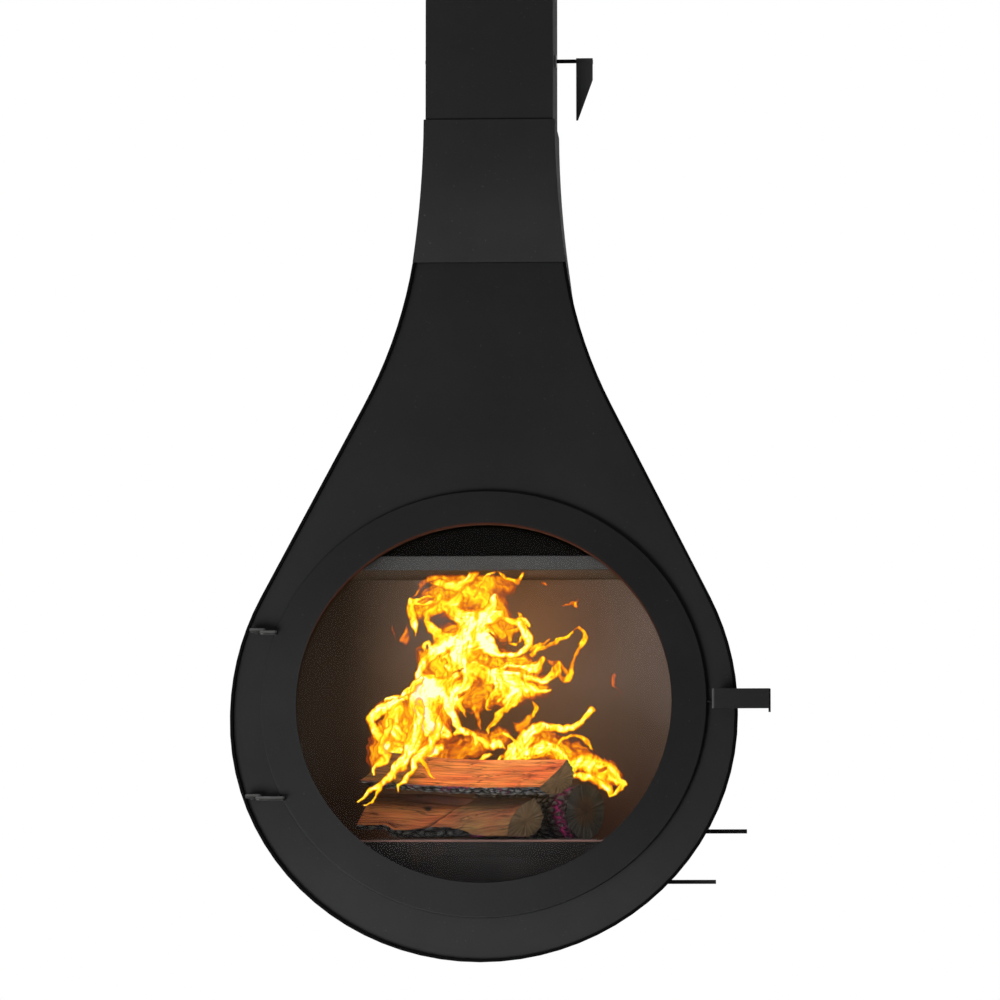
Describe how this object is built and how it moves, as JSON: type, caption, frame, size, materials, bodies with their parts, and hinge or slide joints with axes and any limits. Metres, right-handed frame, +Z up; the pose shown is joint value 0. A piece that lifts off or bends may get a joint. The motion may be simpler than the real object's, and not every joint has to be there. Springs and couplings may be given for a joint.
{
  "type": "hanging fireplace",
  "caption": "Drop-shaped steel fireplace hung from the ceiling by a square flue casing, with a round glazed door, a flue damper and sliding air levers.",
  "frame": {"origin": "middle of the ceiling plate's top face", "axes": "+X to the right as seen from the front, -Y out of the door towards the viewer, +Z up"},
  "size_m": [0.7224, 0.4838, 1.4575],
  "materials": {
    "black_steel": "matt black stove paint",
    "dark_steel": "matt",
    "cast_iron": "as cast",
    "bright_steel": "turned",
    "fire_board": "pressed mineral board",
    "seal": "braided glass fibre",
    "glass": "clear glass-ceramic",
    "split_wood": "split face",
    "bark_wood": "rough bark"
  },
  "bodies": {
    "stove": {"ceiling_cover": "black_steel", "flue_casing": "black_steel", "collar": "black_steel", "body_band": "black_steel", "front_plate": "black_steel", "back_plate": "black_steel", "body_hinge_tab_upper": "black_steel", "body_hinge_tab_lower": "black_steel", "ceiling_plate": "dark_steel", "flue_pipe": "dark_steel", "throat_plate": "dark_steel", "hearth_plate": "dark_steel", "ash_pan": "dark_steel", "ash_panel": "dark_steel", "ash_back_wall": "dark_steel", "primary_air_plate": "dark_steel", "secondary_air_plate": "dark_steel", "pan_rail_front": "dark_steel", "pan_rail_back": "dark_steel", "slide_guide_front": "dark_steel", "slide_guide_back": "dark_steel", "hinge_pin_upper": "dark_steel", "hinge_pin_lower": "dark_steel", "grate": "cast_iron", "damper_bush_left": "bright_steel", "damper_bush_right": "bright_steel", "back_liner": "fire_board", "side_liner_left": "fire_board", "side_liner_right": "fire_board", "baffle": "fire_board", "log_split_low": "split_wood", "log_split_top": "split_wood", "log_round": "bark_wood"},
    "door": {"door_ring": "black_steel", "door_rope_seal": "seal", "door_glass": "glass", "glass_gasket": "seal", "glass_retainer": "dark_steel", "retainer_screw_1": "bright_steel", "retainer_screw_2": "bright_steel", "retainer_screw_3": "bright_steel", "retainer_screw_4": "bright_steel", "retainer_screw_5": "bright_steel", "retainer_screw_6": "bright_steel", "door_hinge_tab_upper": "black_steel", "door_hinge_tab_lower": "black_steel"},
    "handle": {"door_handle": "black_steel", "latch_shaft": "dark_steel"},
    "damper": {"damper_disc": "cast_iron", "damper_shaft": "dark_steel", "damper_handle": "black_steel"},
    "primary_air": {"primary_air_slide": "black_steel"},
    "secondary_air": {"secondary_air_slide": "black_steel"}
  },
  "joints": [
    {"name": "door_hinge", "type": "hinge", "parent": "stove", "child": "door", "pos_m": [-0.2985, -0.25404, -1.127], "axis": [0, -0.2419, -0.9703], "range_deg": [0, 110]},
    {"name": "handle_turn", "type": "hinge", "parent": "door", "child": "handle", "pos_m": [0.3, -0.24096, -1.10965], "axis": [1, 0, 0], "range_deg": [0, 35]},
    {"name": "damper_turn", "type": "hinge", "parent": "stove", "child": "damper", "pos_m": [0, 0, -0.206], "axis": [1, 0, 0], "range_deg": [0, 90]},
    {"name": "primary_air_slide", "type": "slide", "parent": "stove", "child": "primary_air", "axis": [1, 0, 0], "range_m": [-0.031, 0]},
    {"name": "secondary_air_slide", "type": "slide", "parent": "stove", "child": "secondary_air", "axis": [1, 0, 0], "range_m": [-0.031, 0]}
  ]
}
